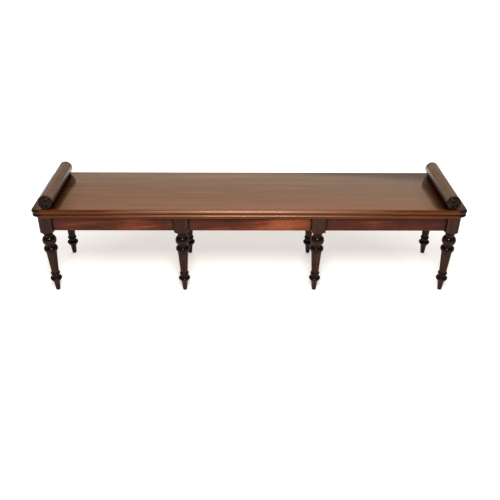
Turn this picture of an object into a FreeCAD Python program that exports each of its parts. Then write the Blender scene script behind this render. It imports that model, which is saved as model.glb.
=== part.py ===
"""Hall bench: a long moulded seat board on eight turned legs, with a turned roll across each end."""
import FreeCAD, Part
import math
import os
import re
import Sketcher
from FreeCAD import Vector

# Driving dimensions in millimetres
SIZES = {
    # Seat board, measured over its moulded edge
    "seat_length": 1830,
    "seat_depth": 400,
    "seat_height": 418,
    "board_corner_radius": 30,
    # Moulded edge of the board, from its arris down
    "top_step_height": 1.6,
    "top_step_setback": 8.5,
    "nosing_height": 13,
    "nosing_upper_rounding": 7.5,
    "nosing_lower_rounding": 3.2,
    "quirk_height": 8.4,
    "quirk_depth": 8,
    "bead_height": 8.5,
    "bead_setback": 1.5,
    "bead_rounding": 4,
    # Lining strips that thicken the edge of the seat
    "lining_thickness": 8.5,
    "lining_width": 64,
    "lining_proud": 3,
    "lining_edge_rounding": 2,
    # Rolls across the ends of the seat, and the rings of their ends from the rim inwards
    "roll_diameter": 60,
    "roll_end_setback": 13,
    "roll_inset": 65,
    "roll_flat_depth": 2,
    "roll_rim_width": 7,
    "roll_rim_rounding": 6,
    "roll_groove_width": 2,
    "roll_groove_depth": 2.5,
    "roll_ring_width": 6,
    "roll_ring_crown": 1.5,
    "roll_recess_width": 6,
    "roll_recess_depth": 4.5,
    "roll_boss_crown": 2.5,
    # Where the legs stand under the board
    "end_overhang": 18.5,
    "side_overhang": 10,
    "inner_leg_spacing": 585,
    # Square head block of a leg and the turned shoulder below it
    "block_width": 60,
    "block_edge_rounding": 1.2,
    "corner_block_rounding": 24,
    "block_drop": 3.5,
    "pommel_rise": 23,
    "pommel_bow": 3,
    # Turned part of a leg, from the head block down to the shaft
    "neck_diameter": 38,
    "neck_height": 9.5,
    "ball_height": 41,
    "ball_crown": 10,
    "waist_diameter": 40,
    "waist_height": 6,
    "waist_slope": 3.5,
    "knee_ring_height": 23.5,
    "knee_ring_crown": 6,
    "knee_fillet_diameter": 47.5,
    "knee_fillet_height": 4.5,
    "cove_height": 5,
    "cove_bow": 1.2,
    "shaft_top_diameter": 44,
    # Turned part of a leg, from the floor up to the shaft
    "foot_end_diameter": 19.5,
    "foot_end_rounding": 1.5,
    "foot_top_diameter": 27.5,
    "foot_height": 42,
    "ankle_flare": 14.5,
    "ankle_ring_diameter": 51,
    "ankle_ring_height": 11,
    "ankle_ring_crown": 2.5,
    "ankle_slope": 4.5,
    "ankle_neck_diameter": 34,
    "ankle_neck_height": 10.5,
    "collar_height": 11,
    "collar_crown": 3.4,
    "collar_slope": 2.5,
    "shaft_low_diameter": 32,
    # Rails between the head blocks
    "rail_height": 64,
    "rail_thickness": 22,
    "rail_setback": 10,
    "rail_edge_rounding": 1.5,
    "tenon_thickness": 9,
    "tenon_shoulder": 8,
    "tenon_web": 12,
    "tenon_clearance": 0.15,
    # Glue blocks behind the rails and the screws of the seat
    "glue_block_width": 22,
    "glue_block_length": 70,
    "glue_block_height": 24,
    "glue_block_chamfer": 9,
    "glue_block_inset": 110,
    "screw_head_diameter": 9.5,
    "screw_head_height": 3,
    "screw_shank_diameter": 4.8,
    "screw_point_length": 5,
    "screw_slot_width": 1.2,
    "screw_slot_depth": 1.2,
    "screw_clearance": 0.15,
    "seat_screw_bite": 14,
    "roll_screw_bite": 24,
    "roll_screw_inset": 19,
    "cut_overrun": 2,
}

# Largest shares of a wall that a rounding may take
WALL_SHARE = 0.95
NOSING_UPPER_SHARE = 0.65
NOSING_LOWER_SHARE = 0.3
BEAD_SHARE = 0.48

# How closely two lengths agree when edges are picked out
MATCH = 1e-5

doc = FreeCAD.newDocument("hall_bench")
sheet = doc.addObject("Spreadsheet::Sheet", "Sizes")
for row, (alias, value) in enumerate(SIZES.items(), start=1):
    sheet.set(f"A{row}", alias)
    sheet.set(f"B{row}", str(value))
    sheet.setAlias(f"B{row}", alias)
doc.recompute()

# Heights worked out from the driving dimensions
BOARD_THICKNESS = "(bead_height + quirk_height + nosing_height + top_step_height)"
BOARD_UNDERSIDE = f"(seat_height - {BOARD_THICKNESS})"
FRAME_TOP = f"({BOARD_UNDERSIDE} - lining_thickness)"
RAIL_BOTTOM = f"({FRAME_TOP} - rail_height)"
GLUE_BLOCK_BOTTOM = f"({FRAME_TOP} - glue_block_height)"
POMMEL_TOP = f"({RAIL_BOTTOM} - block_drop)"
POMMEL_BOTTOM = f"({POMMEL_TOP} - pommel_rise)"

# Places in plan
BLOCK_HALF = "(block_width / 2)"
OUTER_LEG_X = f"(seat_length / 2 - end_overhang - {BLOCK_HALF})"
INNER_LEG_X = "(inner_leg_spacing / 2)"
LEG_ROW_Y = f"(seat_depth / 2 - side_overhang - {BLOCK_HALF})"
LINING_REACH_X = "(seat_length / 2 - end_overhang + lining_proud)"
LINING_REACH_Y = "(seat_depth / 2 - side_overhang + lining_proud)"
LINING_GAP_Y = f"({LINING_REACH_Y} - lining_width)"
RAIL_OFFSET = f"({BLOCK_HALF} - rail_setback - rail_thickness / 2)"
GLUE_BLOCK_Y = f"({LEG_ROW_Y} + {RAIL_OFFSET} - rail_thickness / 2 - glue_block_width / 2)"
ROLL_X = "(seat_length / 2 - roll_inset)"
ROLL_HALF_LENGTH = "(seat_depth / 2 - roll_end_setback)"
ROLL_SCREW_SPACING = f"({LINING_GAP_Y} - roll_screw_inset)"

# Sizes that follow from what they fit
ROLL_RADIUS = "(roll_diameter / 2)"
LONG_TENON = "((block_width - tenon_web) / 2)"
SHORT_TENON = f"({BLOCK_HALF} - tenon_web)"
TENON_HEIGHT = "(rail_height - 2 * tenon_shoulder)"
SCREW_HOLE_RADIUS = "(screw_shank_diameter / 2 + screw_clearance)"
COUNTERSINK_RADIUS = "(screw_head_diameter / 2 + screw_clearance)"

pieces = []


def cell(text):
    """A formula with every size in it written as a cell of the sheet."""
    return re.sub(r"[a-z_]+", lambda word: f"Sizes.{word[0]}" if word[0] in SIZES else word[0], text)


def measure(text):
    """The value of a formula, in millimetres."""
    return float(sheet.evalExpression(cell(text)))


def bow(chord, rise):
    """Radius of the arc that rises that far over a chord."""
    return f"((({chord}) / 2)^2 + ({rise})^2) / (2 * ({rise}))"


def near(value, target):
    """Whether two lengths agree."""
    return abs(value - target) < MATCH


def place(thing, x="0", y="0", z="0"):
    """Bind a thing's position to the sheet."""
    for axis, text in zip("xyz", (x, y, z)):
        thing.setExpression(f"Placement.Base.{axis}", cell(text))


def new_body(label, x="0", y="0", z="0"):
    """An empty piece, standing where its formulas say."""
    body = doc.addObject("PartDesign::Body", label)
    body.Label = label
    place(body, x, y, z)
    pieces.append(body)
    return body


def origin_plane(body, role):
    """One of a body's own origin planes."""
    return next(plane for plane in body.Origin.OriginFeatures if plane.Role == role)


def arc_between(start, end, radius):
    """Arc under half a turn, bulging to the right of travel, or to the left if the radius is negative."""
    chord = end - start
    left = Vector(-chord.y, chord.x, 0).normalize()
    rise = math.sqrt(radius**2 - (chord.Length / 2) ** 2)
    centre = (start + end) / 2 + left * math.copysign(rise, radius)
    first, last = (start, end) if radius > 0 else (end, start)
    angles = [math.atan2(point.y - centre.y, point.x - centre.x) for point in (first, last)]
    if angles[1] < angles[0]:
        angles[1] += 2 * math.pi
    return Part.ArcOfCircle(Part.Circle(centre, Vector(0, 0, 1), abs(radius)), *angles)


def outline(body, name, role, points, lift="0"):
    """Closed sketch through points (x, y) or (x, y, radius of the arc that leaves the point)."""
    sketch = body.newObject("Sketcher::SketchObject", f"{body.Name}_{name}")
    sketch.AttachmentSupport = [(origin_plane(body, role), "")]
    sketch.MapMode = "FlatFace"
    sketch.setExpression("AttachmentOffset.Base.z", cell(lift))
    spots = [Vector(measure(point[0]), measure(point[1]), 0) for point in points]
    runs = []
    for index, point in enumerate(points):
        start = spots[index]
        end = spots[(index + 1) % len(spots)]
        bulge = measure(point[2]) if len(point) > 2 else 0
        curve = arc_between(start, end, bulge) if bulge else Part.LineSegment(start, end)
        tips = (2, 1) if bulge < 0 else (1, 2)
        runs.append((sketch.addGeometry(curve), *tips))
    for (run, _, tip), (after, tail, _) in zip(runs, runs[1:] + runs[:1]):
        sketch.addConstraint(Sketcher.Constraint("Coincident", run, tip, after, tail))
    for index, (point, (run, tail, _)) in enumerate(zip(points, runs)):
        for axis, line, text in (("X", -2, point[0]), ("Y", -1, point[1])):
            if text == "0":
                sketch.addConstraint(Sketcher.Constraint("PointOnObject", run, tail, line))
                continue
            rule = Sketcher.Constraint(f"Distance{axis}", -1, 1, run, tail, measure(text))
            bind_rule(sketch, rule, f"{axis.lower()}_{index}", text)
        if len(point) > 2:
            rule = Sketcher.Constraint("Radius", run, abs(measure(point[2])))
            bind_rule(sketch, rule, f"radius_{index}", f"abs({point[2]})")
    return sketch


def bind_rule(sketch, rule, name, text):
    """Add a dimension to a sketch and bind it to the sheet."""
    number = sketch.addConstraint(rule)
    sketch.renameConstraint(number, name)
    sketch.setExpression(f"Constraints.{name}", cell(text))


def pad(body, name, points, thickness, lift):
    """A flat outline raised to a thickness."""
    feature = body.newObject("PartDesign::Pad", f"{body.Name}_{name}")
    feature.Profile = outline(body, f"{name}_outline", "XY_Plane", points, lift)
    feature.setExpression("Length", cell(thickness))


def turn(body, name, role, points, kind="Revolution"):
    """A profile turned about the upright axis of its sketch."""
    sketch = outline(body, f"{name}_profile", role, points)
    feature = body.newObject(f"PartDesign::{kind}", f"{body.Name}_{name}")
    feature.Profile = sketch
    feature.ReferenceAxis = (sketch, ["V_Axis"])
    feature.Angle = 360


def primitive(body, name, kind, sizes, x, y, z):
    """A box, cylinder or cone added to a body or cut from it."""
    feature = body.newObject(f"PartDesign::{kind}", f"{body.Name}_{name}")
    for key, text in sizes.items():
        feature.setExpression(key, cell(text))
    place(feature, x, y, z)


def block(body, name, kind, low, size):
    """A box that starts at a low corner."""
    primitive(body, name, kind, dict(zip(("Length", "Width", "Height"), size)), *low)


def drill(body, name, places, low, depth):
    """Upright screw holes at several places of a body."""
    for number, (x, y) in enumerate(places):
        sizes = {"Radius": SCREW_HOLE_RADIUS, "Height": depth}
        primitive(body, f"{name}_{number}", "SubtractiveCylinder", sizes, x, y, low)


def round_edges(body, name, radius, chosen):
    """Round those edges of the body so far that are chosen by their shape and middle."""
    doc.recompute()
    base = body.Tip
    names = []
    for number, edge in enumerate(base.Shape.Edges, start=1):
        middle = edge.valueAt((edge.FirstParameter + edge.LastParameter) / 2)
        if chosen(edge, middle):
            names.append(f"Edge{number}")
    feature = body.newObject("PartDesign::Fillet", f"{body.Name}_{name}")
    feature.Base = (base, names)
    feature.setExpression("Radius", cell(radius))


def upright(edge):
    """Whether an edge is a straight vertical line."""
    box = edge.BoundBox
    return box.ZLength > 0 and near(box.XLength, 0) and near(box.YLength, 0)


def level(edge, height):
    """Whether an edge lies flat at one height."""
    return near(edge.BoundBox.ZMin, height) and near(edge.BoundBox.ZMax, height)


def rounded_rectangle(half_x, half_y, radius):
    """Outline of a rectangle about the origin with rounded corners, counter-clockwise."""
    inner_x = f"({half_x} - {radius})"
    inner_y = f"({half_y} - {radius})"
    return [
        (f"-{inner_x}", f"-{half_y}"),
        (inner_x, f"-{half_y}", radius),
        (half_x, f"-{inner_y}"),
        (half_x, inner_y, radius),
        (inner_x, half_y),
        (f"-{inner_x}", half_y, radius),
        (f"-{half_x}", inner_y),
        (f"-{half_x}", f"-{inner_y}", radius),
    ]


def glue_block_places(rows=("-", "")):
    """Centres of the glue blocks behind the long rails, two to a bay."""
    reaches = (
        f"({OUTER_LEG_X} - {BLOCK_HALF} - glue_block_inset)",
        f"({INNER_LEG_X} + {BLOCK_HALF} + glue_block_inset)",
        f"({INNER_LEG_X} - {BLOCK_HALF} - glue_block_inset)",
    )
    across = [f"{end}{reach}" for reach in reaches for end in ("-", "")]
    return [(x, f"{row}{GLUE_BLOCK_Y}") for row in rows for x in across]


def roll_screw_places(side):
    """Axes of the three screws under one roll."""
    return [(f"{side}{ROLL_X}", f"{step} * {ROLL_SCREW_SPACING}") for step in (-1, 0, 1)]


def make_seat_board():
    """Board with a stepped top, a rounded nosing, a quirk and a bead round its edge."""
    board = new_body("seat_board", z=BOARD_UNDERSIDE)
    nosing_low = "(bead_height + quirk_height)"
    nosing_top = f"({nosing_low} + nosing_height)"
    layers = (
        ("bead", "bead_setback", "0", "bead_height"),
        ("quirk", "quirk_depth", "bead_height", "quirk_height"),
        ("nosing", "0", nosing_low, "nosing_height"),
        ("top", "top_step_setback", nosing_top, "top_step_height"),
    )
    for name, setback, lift, thickness in layers:
        half_x = f"(seat_length / 2 - {setback})"
        half_y = f"(seat_depth / 2 - {setback})"
        corner = f"(board_corner_radius - {setback})"
        pad(board, name, rounded_rectangle(half_x, half_y, corner), thickness, lift)

    def rim(height, setback):
        """A choice of the edges round the outside of one layer."""
        reach_x = measure(f"seat_length / 2 - {setback}")
        reach_y = measure(f"seat_depth / 2 - {setback}")

        def chosen(edge, _):
            box = edge.BoundBox
            far_x = max(abs(box.XMin), abs(box.XMax))
            far_y = max(abs(box.YMin), abs(box.YMax))
            return level(edge, measure(height)) and (near(far_x, reach_x) or near(far_y, reach_y))

        return chosen

    upper_limits = f"{WALL_SHARE} * top_step_setback; {NOSING_UPPER_SHARE} * nosing_height"
    lower_limits = f"{WALL_SHARE} * quirk_depth; {NOSING_LOWER_SHARE} * nosing_height"
    bead_limits = f"{WALL_SHARE} * (quirk_depth - bead_setback); {BEAD_SHARE} * bead_height"
    upper = f"min(nosing_upper_rounding; {upper_limits})"
    lower = f"min(nosing_lower_rounding; {lower_limits})"
    bead = f"min(bead_rounding; {bead_limits})"
    round_edges(board, "nosing_upper", upper, rim(nosing_top, "0"))
    round_edges(board, "nosing_lower", lower, rim(nosing_low, "0"))
    round_edges(board, "bead_upper", bead, rim("bead_height", "bead_setback"))
    round_edges(board, "bead_lower", bead, rim("0", "bead_setback"))
    drill(board, "seat_screw_hole", glue_block_places(), "-cut_overrun",
          "seat_screw_bite + screw_clearance + cut_overrun")
    for side, name in (("-", "left"), ("", "right")):
        drill(board, f"{name}_roll_screw_hole", roll_screw_places(side), "-cut_overrun",
              f"{BOARD_THICKNESS} + 2 * cut_overrun")


def make_long_lining(label, side):
    """Lining strip along the front or back, its outer corners rounded like the blocks below."""
    lining = new_body(label, z=FRAME_TOP)
    low_y = f"-{LINING_REACH_Y}" if side == "-" else LINING_GAP_Y
    block(lining, "strip", "AdditiveBox", (f"-{LINING_REACH_X}", low_y, "0"),
          (f"2 * {LINING_REACH_X}", "lining_width", "lining_thickness"))
    outer = measure(f"{side}{LINING_REACH_Y}")
    inner = measure(f"{side}{LINING_GAP_Y}")
    round_edges(lining, "corners", "(corner_block_rounding + lining_proud)",
                lambda edge, middle: upright(edge) and near(middle.y, outer))
    round_edges(lining, "rim", "lining_edge_rounding",
                lambda edge, middle: level(edge, 0) and not near(middle.y, inner))
    drill(lining, "seat_screw_hole", glue_block_places((side,)), "-cut_overrun",
          "lining_thickness + 2 * cut_overrun")


def make_end_lining(label, side):
    """Lining strip along one end, between the long strips, bored and countersunk for the roll's screws."""
    lining = new_body(label, z=FRAME_TOP)
    low_x = f"-{LINING_REACH_X}" if side == "-" else f"({LINING_REACH_X} - lining_width)"
    block(lining, "strip", "AdditiveBox", (low_x, f"-{LINING_GAP_Y}", "0"),
          ("lining_width", f"2 * {LINING_GAP_Y}", "lining_thickness"))
    outer = measure(f"{side}{LINING_REACH_X}")
    round_edges(lining, "rim", "lining_edge_rounding",
                lambda edge, middle: level(edge, 0) and near(middle.x, outer))
    drill(lining, "roll_screw_hole", roll_screw_places(side), "-cut_overrun",
          "lining_thickness + 2 * cut_overrun")
    for number, (x, y) in enumerate(roll_screw_places(side)):
        sizes = {"Radius1": COUNTERSINK_RADIUS, "Radius2": SCREW_HOLE_RADIUS, "Height": "screw_head_height"}
        primitive(lining, f"countersink_{number}", "SubtractiveCone", sizes, x, y, "0")


def roll_end(end):
    """Profile of one turned end of a roll, from its axis out to its rim."""
    face = f"{end}{ROLL_HALF_LENGTH}"
    inward = "+" if end == "-" else "-"
    rim_in = f"({ROLL_RADIUS} - roll_rim_width)"
    ring_out = f"({rim_in} - roll_groove_width)"
    ring_in = f"({ring_out} - roll_ring_width)"
    boss = f"({ring_in} - roll_recess_width)"
    return [
        ("0", face, bow(f"2 * {boss}", "roll_boss_crown")),
        (boss, f"{face} {inward} roll_boss_crown"),
        (boss, f"{face} {inward} roll_recess_depth"),
        (ring_in, f"{face} {inward} roll_recess_depth"),
        (ring_in, f"{face} {inward} roll_ring_crown", bow("roll_ring_width", "roll_ring_crown")),
        (ring_out, f"{face} {inward} roll_ring_crown"),
        (ring_out, f"{face} {inward} roll_groove_depth"),
        (rim_in, f"{face} {inward} roll_groove_depth"),
        (rim_in, face),
        (f"{ROLL_RADIUS} - roll_rim_rounding", face, "roll_rim_rounding"),
        (ROLL_RADIUS, f"{face} {inward} roll_rim_rounding"),
    ]


def reversed_run(points):
    """The same points the other way round, with each arc on the point where it now starts."""
    arcs = [()] + [point[2:] for point in points[:-1]]
    return [(*point[:2], *arc) for point, arc in zip(points[::-1], arcs[::-1])]


def make_roll(label, side):
    """Roll turned with ringed ends, planed flat where it lies on the seat and bored for its screws."""
    roll = new_body(label, x=f"{side}{ROLL_X}", z=f"(seat_height + {ROLL_RADIUS} - roll_flat_depth)")
    turn(roll, "turning", "XY_Plane", roll_end("-") + reversed_run(roll_end("")))
    below = f"(-{ROLL_RADIUS} - cut_overrun)"
    block(roll, "flat", "SubtractiveBox", (below, f"-{ROLL_HALF_LENGTH} - cut_overrun", below),
          ("roll_diameter + 2 * cut_overrun", f"2 * ({ROLL_HALF_LENGTH} + cut_overrun)",
           "roll_flat_depth + cut_overrun"))
    places = [("0", y) for _, y in roll_screw_places(side)]
    drill(roll, "screw_hole", places, f"-{ROLL_RADIUS}",
          "roll_flat_depth + roll_screw_bite + screw_clearance")


def leg_profile():
    """Turned profile of a leg, from the floor up into its head block."""
    foot_end = "(foot_end_diameter / 2)"
    foot_top = "(foot_top_diameter / 2)"
    ankle_rim = "(ankle_ring_diameter / 2 - ankle_ring_crown)"
    ankle_neck = "(ankle_neck_diameter / 2)"
    shaft_low = "(shaft_low_diameter / 2)"
    shaft_top = "(shaft_top_diameter / 2)"
    knee = "(knee_fillet_diameter / 2)"
    waist = "(waist_diameter / 2)"
    neck = "(neck_diameter / 2)"
    ankle_low = "(foot_height + ankle_flare)"
    ankle_high = f"({ankle_low} + ankle_ring_height)"
    neck_low = f"({ankle_high} + ankle_slope)"
    collar_low = f"({neck_low} + ankle_neck_height)"
    collar_high = f"({collar_low} + collar_height)"
    shaft_foot = f"({collar_high} + collar_slope)"
    ball_high = f"({POMMEL_BOTTOM} - neck_height)"
    ball_low = f"({ball_high} - ball_height)"
    waist_low = f"({ball_low} - waist_height)"
    knee_high = f"({waist_low} - waist_slope)"
    knee_low = f"({knee_high} - knee_ring_height)"
    cove_high = f"({knee_low} - knee_fillet_height)"
    shaft_head = f"({cove_high} - cove_height)"
    cove_chord = f"hypot(cove_height; {knee} - {shaft_top})"
    return [
        ("0", "0"),
        (f"{foot_end} - foot_end_rounding", "0", "foot_end_rounding"),
        (foot_end, "foot_end_rounding"),
        (foot_top, "foot_height"),
        (ankle_rim, ankle_low, bow("ankle_ring_height", "ankle_ring_crown")),
        (ankle_rim, ankle_high),
        (ankle_neck, neck_low),
        (ankle_neck, collar_low, bow("collar_height", "collar_crown")),
        (ankle_neck, collar_high),
        (shaft_low, shaft_foot),
        (shaft_top, shaft_head, f"-({bow(cove_chord, 'cove_bow')})"),
        (knee, cove_high),
        (knee, knee_low, bow("knee_ring_height", "knee_ring_crown")),
        (knee, knee_high),
        (waist, waist_low),
        (waist, ball_low, bow("ball_height", "ball_crown")),
        (waist, ball_high),
        (neck, ball_high),
        (neck, POMMEL_TOP),
        ("0", POMMEL_TOP),
    ]


def make_leg(label, x, y, outer_x, outer_y, rail_sides, tie):
    """Leg turned below a square head block, with a mortise for each rail that meets it."""
    leg = new_body(label, x=x, y=y)
    half = measure(BLOCK_HALF)
    block(leg, "head", "AdditiveBox", (f"-{BLOCK_HALF}", f"-{BLOCK_HALF}", POMMEL_BOTTOM),
          ("block_width", "block_width", f"{FRAME_TOP} - {POMMEL_BOTTOM}"))

    def outermost(edge, middle):
        return upright(edge) and middle.x * outer_x > 0 and middle.y * outer_y > 0

    def square_corner(edge, middle):
        return upright(edge) and near(abs(middle.x), half) and near(abs(middle.y), half)

    if outer_x:
        round_edges(leg, "corner", "corner_block_rounding", outermost)
    round_edges(leg, "arrises", "block_edge_rounding", square_corner)
    neck = "(neck_diameter / 2)"
    reach = "(block_width / sqrt(2) + cut_overrun)"
    below = f"({POMMEL_BOTTOM} - cut_overrun)"
    slope = f"hypot({reach} - {neck}; pommel_rise)"
    turn(leg, "pommel", "XZ_Plane", [
        (neck, below),
        (reach, below),
        (reach, POMMEL_TOP, f"-({bow(slope, 'pommel_bow')})"),
        (neck, POMMEL_BOTTOM),
    ], "Groove")
    turn(leg, "turning", "XZ_Plane", leg_profile())
    slot = "(tenon_thickness + 2 * tenon_clearance)"
    slot_low = f"({RAIL_BOTTOM} + tenon_shoulder - tenon_clearance)"
    slot_height = f"({TENON_HEIGHT} + 2 * tenon_clearance)"
    outside = f"(-{BLOCK_HALF} - cut_overrun)"
    for side in rail_sides:
        depth = f"({LONG_TENON} + tenon_clearance)"
        low_x = f"({BLOCK_HALF} - {depth})" if side > 0 else outside
        block(leg, "mortise_right" if side > 0 else "mortise_left", "SubtractiveBox",
              (low_x, f"{outer_y} * {RAIL_OFFSET} - {slot} / 2", slot_low),
              (f"{depth} + cut_overrun", slot, slot_height))
    depth = f"({SHORT_TENON} + tenon_clearance)"
    low_y = f"({BLOCK_HALF} - {depth})" if outer_y < 0 else outside
    block(leg, f"{tie}_mortise", "SubtractiveBox",
          (f"{outer_x} * {RAIL_OFFSET} - {slot} / 2", low_y, slot_low),
          (slot, f"{depth} + cut_overrun", slot_height))


def make_legs():
    """Four legs along each long side: two at the corners and two between them."""
    columns = (
        ("left", f"-{OUTER_LEG_X}", -1, (1,), "end"),
        ("inner_left", f"-{INNER_LEG_X}", 0, (-1, 1), "cross"),
        ("inner_right", INNER_LEG_X, 0, (-1, 1), "cross"),
        ("right", OUTER_LEG_X, 1, (-1,), "end"),
    )
    for row, sign, outer_y in (("front", "-", -1), ("back", "", 1)):
        for column, x, outer_x, rail_sides, tie in columns:
            make_leg(f"{row}_{column}_leg", x, f"{sign}{LEG_ROW_Y}", outer_x, outer_y, rail_sides, tie)


def make_rail(label, along, low, high, x, y, tenon):
    """Rail along X or Y with its lower arrises eased and a tenon at each end."""
    rail = new_body(label, x=x, y=y, z=RAIL_BOTTOM)

    def bar(name, start, length, thickness, base, height):
        corner = (start, f"-{thickness} / 2", base)
        size = (length, thickness, height)
        if along == "Y":
            corner = (corner[1], corner[0], base)
            size = (thickness, length, height)
        block(rail, name, "AdditiveBox", corner, size)

    bar("board", low, f"{high} - {low}", "rail_thickness", "0", "rail_height")
    length = measure(f"{high} - {low}")
    round_edges(rail, "arrises", "rail_edge_rounding",
                lambda edge, _: level(edge, 0) and near(edge.Length, length))
    bar("low_tenon", f"{low} - {tenon}", tenon, "tenon_thickness", "tenon_shoulder", TENON_HEIGHT)
    bar("high_tenon", high, tenon, "tenon_thickness", "tenon_shoulder", TENON_HEIGHT)
    return bar


def make_rails():
    """Rails round the frame, and two that tie the inner legs and reach up to the board."""
    outer_face = f"({OUTER_LEG_X} - {BLOCK_HALF})"
    far_face = f"({INNER_LEG_X} + {BLOCK_HALF})"
    near_face = f"({INNER_LEG_X} - {BLOCK_HALF})"
    bays = (
        ("left", f"-{outer_face}", f"-{far_face}"),
        ("middle", f"-{near_face}", near_face),
        ("right", far_face, outer_face),
    )
    for row, sign in (("front", "-"), ("back", "")):
        y = f"{sign}({LEG_ROW_Y} + {RAIL_OFFSET})"
        for bay, low, high in bays:
            make_rail(f"{row}_{bay}_rail", "X", low, high, "0", y, LONG_TENON)
    inner_face = f"({LEG_ROW_Y} - {BLOCK_HALF})"
    span = (f"-{inner_face}", inner_face)
    half_crest = f"(min({LINING_GAP_Y}; {inner_face}) - tenon_clearance)"
    crest_length = f"2 * {half_crest}"
    for name, sign in (("left", "-"), ("right", "")):
        end_x = f"{sign}({OUTER_LEG_X} + {RAIL_OFFSET})"
        cross_x = f"{sign}{INNER_LEG_X}"
        make_rail(f"{name}_end_rail", "Y", *span, end_x, "0", SHORT_TENON)
        cross_bar = make_rail(f"{name}_cross_rail", "Y", *span, cross_x, "0", SHORT_TENON)
        cross_bar("crest", f"-{half_crest}", crest_length, "rail_thickness", "rail_height",
                  "lining_thickness")


def screw_shape(length):
    """Slotted countersunk wood screw standing on its head at the origin."""
    head = measure("screw_head_diameter / 2")
    shank = measure("screw_shank_diameter / 2")
    neck = measure("screw_head_height")
    tip = measure(length)
    point = tip - measure("screw_point_length")
    profile = ((0, 0), (head, 0), (shank, neck), (shank, point), (0, tip))
    rim = [Vector(radius, 0, height) for radius, height in profile]
    turned = Part.Face(Part.makePolygon(rim + rim[:1])).revolve(Vector(0, 0, 0), Vector(0, 0, 1), 360)
    slot_width = measure("screw_slot_width")
    corner = Vector(-head, -slot_width / 2, 0)
    return turned.cut(Part.makeBox(2 * head, slot_width, measure("screw_slot_depth"), corner))


def glue_block_shape(side):
    """Block with its free lower corner cut away, bored and countersunk for a seat screw."""
    half = side * measure("glue_block_width / 2")
    length = measure("glue_block_length")
    height = measure("glue_block_height")
    chamfer = measure("glue_block_chamfer")
    across = ((half, 0), (half, height), (-half, height), (-half, chamfer), (side * chamfer - half, 0))
    corners = [Vector(-length / 2, y, z) for y, z in across]
    solid = Part.Face(Part.makePolygon(corners + corners[:1])).extrude(Vector(length, 0, 0))
    overrun = measure("cut_overrun")
    hole = measure(SCREW_HOLE_RADIUS)
    bore = Part.makeCylinder(hole, height + 2 * overrun, Vector(0, 0, -overrun))
    sink = Part.makeCone(measure(COUNTERSINK_RADIUS), hole, measure("screw_head_height"))
    return solid.cut(bore).cut(sink)


def moved(shape, x, y, z):
    """A copy of a shape shifted to a place given by formulas."""
    copy = shape.copy()
    copy.translate(Vector(measure(x), measure(y), measure(z)))
    return copy


def make_group(label, shapes):
    """Separate solids of one kind in a single piece."""
    group = doc.addObject("Part::Feature", label)
    group.Label = label
    group.Shape = Part.makeCompound(shapes)
    group.Placement = FreeCAD.Placement()
    pieces.append(group)


def make_fixings():
    """Glue blocks in the angle of rail and lining, and the screws of the seat and of the rolls."""
    blocks = []
    for row, side in (("-", -1), ("", 1)):
        shape = glue_block_shape(side)
        blocks += [moved(shape, x, y, GLUE_BLOCK_BOTTOM) for x, y in glue_block_places((row,))]
    make_group("glue_blocks", blocks)
    seat_screw = screw_shape("glue_block_height + lining_thickness + seat_screw_bite")
    make_group("seat_screws", [moved(seat_screw, x, y, GLUE_BLOCK_BOTTOM) for x, y in glue_block_places()])
    roll_screw = screw_shape(f"lining_thickness + {BOARD_THICKNESS} + roll_screw_bite")
    places = roll_screw_places("-") + roll_screw_places("")
    make_group("roll_screws", [moved(roll_screw, x, y, FRAME_TOP) for x, y in places])


def write_pieces():
    """Check every object, then write each piece to its own file."""
    doc.recompute()
    for item in doc.Objects:
        if {"Invalid", "Error"} & set(item.State):
            raise RuntimeError(f"{item.Label} did not compute: {item.State}")
    for piece in pieces:
        if piece.Shape.isNull() or not piece.Shape.isValid():
            raise RuntimeError(f"{piece.Label} has no valid shape")
    os.makedirs("parts", exist_ok=True)
    for piece in pieces:
        piece.Shape.exportStep(f"parts/{piece.Label}.step")
        print(f"{piece.Label}: solids {len(piece.Shape.Solids)}, volume {piece.Shape.Volume:.0f} mm3")


make_seat_board()
make_long_lining("front_lining", "-")
make_long_lining("back_lining", "")
make_end_lining("left_lining", "-")
make_end_lining("right_lining", "")
make_roll("left_roll", "-")
make_roll("right_roll", "")
make_legs()
make_rails()
make_fixings()
write_pieces()
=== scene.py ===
"""Hall bench: a moulded mahogany seat with a turned roll across each end, on eight turned legs."""
import math
import bmesh
import bpy
from mathutils import Matrix, Vector


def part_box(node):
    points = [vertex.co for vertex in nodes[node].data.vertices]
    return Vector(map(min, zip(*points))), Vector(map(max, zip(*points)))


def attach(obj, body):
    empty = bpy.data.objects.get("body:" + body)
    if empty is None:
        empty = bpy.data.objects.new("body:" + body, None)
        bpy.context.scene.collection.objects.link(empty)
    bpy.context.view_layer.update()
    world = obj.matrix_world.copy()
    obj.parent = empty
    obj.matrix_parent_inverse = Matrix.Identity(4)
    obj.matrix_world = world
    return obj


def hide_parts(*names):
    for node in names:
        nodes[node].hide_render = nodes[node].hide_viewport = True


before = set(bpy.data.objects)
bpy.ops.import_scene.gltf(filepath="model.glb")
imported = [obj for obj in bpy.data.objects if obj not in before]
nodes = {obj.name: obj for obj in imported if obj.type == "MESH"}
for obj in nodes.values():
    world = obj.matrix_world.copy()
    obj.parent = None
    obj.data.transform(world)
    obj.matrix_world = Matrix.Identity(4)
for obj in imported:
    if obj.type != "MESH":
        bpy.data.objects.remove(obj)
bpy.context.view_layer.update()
scene = bpy.context.scene
X, Y, Z = range(3)

# Moulded edge of the seat board, in metres, from its underside up
CORNER = 0.030
BEAD_HEIGHT, BEAD_SETBACK, BEAD_ROUND = 0.0085, 0.0015, 0.0040
QUIRK_HEIGHT, QUIRK_DEPTH = 0.0084, 0.008
NOSING_HEIGHT, NOSING_UPPER, NOSING_LOWER = 0.013, 0.0075, 0.0032
STEP_SETBACK, STEP_ROUND = 0.0085, 0.0006
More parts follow.
